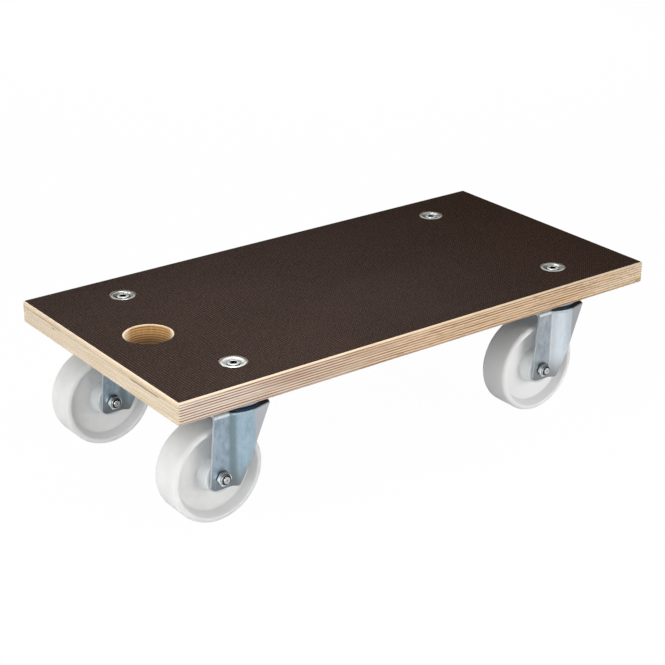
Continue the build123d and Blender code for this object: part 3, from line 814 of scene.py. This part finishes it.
def mount_bolt(corner):
    """Threaded mounting bolt at one corner; heights run down from the face of its head."""
    low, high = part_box("mount_bolts")
    axis = sum(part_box(f"{corner}_king_rivet"), Vector()) / 2
    upside_down = pi
    rings = socket_bolt(0.0, high.z - low.z)
    place = (axis.x, axis.y, high.z)
    bolt = turned_piece(f"{corner}_mount_bolt", rings, place, upside_down, mount_bolt_zinc)
    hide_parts("mount_bolts")
    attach(bolt, "deck")


for corner in CORNERS:
    axle_fasteners(corner)
    mount_bolt(corner)


def seen_rays(tree):
    """1 for rays that show the background itself: from the camera, in a reflection or through glass."""
    camera = tree.node("LightPath", {}, {}, "Is Camera Ray")
    glossy = tree.node("LightPath", {}, {}, "Is Glossy Ray")
    through = tree.node("LightPath", {}, {}, "Is Transmission Ray")
    return tree.math("MAXIMUM", camera, tree.math("MAXIMUM", glossy, through))


def pale_world():
    """White all round to the camera. To the object the walls are grey low down, as round a light tent, and
    the far one is the darkest."""
    world = bpy.data.worlds.new("pale_studio")
    world.use_nodes = True
    world.node_tree.nodes.clear()
    tree = Wire(world.node_tree)
    direction = tree.node("TexCoord", {}, {}, "Generated")
    away = tree.node("VectorMath", {"operation": "DOT_PRODUCT"}, {0: direction, 1: FAR_WALL}, "Value")
    shade = (1 - NEAR_WALL_GREY) + (NEAR_WALL_GREY - FAR_WALL_GREY) * away.rise(*FAR_WALL_EDGE)
    camera = tree.node("LightPath", {}, {}, "Is Camera Ray")
    graded = 1 - shade * (1 - direction.part(2).rise(*WALL_TOP)) * (1 - camera)
    brightness = (AMBIENT + (1.0 - AMBIENT) * seen_rays(tree)) * graded
    sky = tree.node("Background", {}, {"Color": brightness.tint(BLACK, WHITE)})
    tree.node("OutputWorld", {}, {"Surface": sky})
    bpy.context.scene.world = world


def pale_floor():
    """Floor that shows almost white, and still takes the object's shadow."""
    mesh = bpy.data.meshes.new("floor")
    sides = [(-1, -1), (1, -1), (1, 1), (-1, 1)]
    mesh.from_pydata([(FLOOR_REACH * x, FLOOR_REACH * y, 0) for x, y in sides], [], [(0, 1, 2, 3)])
    floor = bpy.data.objects.new("floor", mesh)
    bpy.context.scene.collection.objects.link(floor)
    material, tree, place = new_finish("floor_white")
    mirrored = tree.node("LightPath", {}, {}, "Is Glossy Ray")
    sheen = 1 - place.distance(SHEEN_PLACE).rise(*SHEEN_REACH)
    shade = 1 - UNDER_DECK_SHADE * (1 - abs(place.part(1)).rise(*UNDER_DECK))
    mirrored_glow = (MIRRORED_FLOOR + MIRRORED_SHEEN * sheen) * shade
    brightness = 1 - (1 - mirrored_glow) * mirrored
    matt = tree.node("BsdfDiffuse", {}, {"Color": FLOOR_WHITE})
    glow = tree.node("Emission", {}, {"Color": brightness.tint(BLACK, WHITE)})
    share = seen_rays(tree) * (FLOOR_GLOW + (1.0 - FLOOR_GLOW) * mirrored)
    both = tree.node("MixShader", {}, {0: share, 1: matt, 2: glow})
    tree.node("OutputMaterial", {}, {"Surface": both})
    mesh.materials.append(material)


def soft_lamp(name, place, aim, side, watts, mirrored=True):
    """Square panel of light that the camera doesn't see; bright metal mirrors it unless told otherwise."""
    lamp = bpy.data.lights.new(name, "AREA")
    lamp.shape = "SQUARE"
    lamp.size = side
    lamp.energy = watts
    holder = bpy.data.objects.new(name, lamp)
    holder.location = place
    holder.rotation_euler = (Vector(aim) - Vector(place)).to_track_quat("-Z", "Y").to_euler()
    holder.visible_camera = False
    holder.visible_glossy = mirrored
    bpy.context.scene.collection.objects.link(holder)


def photo_camera():
    """Camera at the photo's own viewpoint, placed from the middle of the deck's top."""
    azimuth = radians(VIEW_AZIMUTH)
    elevation = radians(VIEW_ELEVATION)
    roll = radians(VIEW_ROLL)
    back = Vector((sin(azimuth) * cos(elevation), -cos(azimuth) * cos(elevation), sin(elevation)))
    level_right = Vector((cos(azimuth), sin(azimuth), 0))
    level_up = back.cross(level_right)
    right = cos(roll) * level_right + sin(roll) * level_up
    up = cos(roll) * level_up - sin(roll) * level_right
    deck_middle = Vector((0, 0, DECK_TOP))
    camera = bpy.data.objects.new("camera", bpy.data.cameras.new("camera"))
    camera.data.sensor_width = SENSOR_WIDTH
    camera.data.lens = SENSOR_WIDTH * FOCAL_PIXELS / PHOTO_SIDE
    place = deck_middle + VIEW_SIDESTEP * right + VIEW_RISE * up + VIEW_DISTANCE * back
    camera.matrix_world = Matrix.Translation(place) @ Matrix((right, up, back)).transposed().to_4x4()
    bpy.context.scene.collection.objects.link(camera)
    bpy.context.scene.camera = camera


pale_world()
pale_floor()
soft_lamp("top_panel", (-0.2, -0.13, 0.6), (-0.2, -0.13, 0.0), side=0.36, watts=2.45)
soft_lamp("near_panel", (-1.3, -1.1, 0.35), LAMP_AIM, side=0.8, watts=4.0)
soft_lamp("left_panel", (-1.4, -0.3, 0.4), LAMP_AIM, side=0.8, watts=6.0)
soft_lamp("right_panel", (1.0, -1.75, 0.5), LAMP_AIM, side=1.2, watts=20.5, mirrored=False)
soft_lamp("far_panel", (-1.6, 0.9, 0.8), LAMP_AIM, side=1.0, watts=6.5)
soft_lamp("back_panel", (1.1, 1.6, 0.5), LAMP_AIM, side=1.2, watts=13.0, mirrored=False)
photo_camera()
bpy.context.scene.view_settings.view_transform = "Standard"
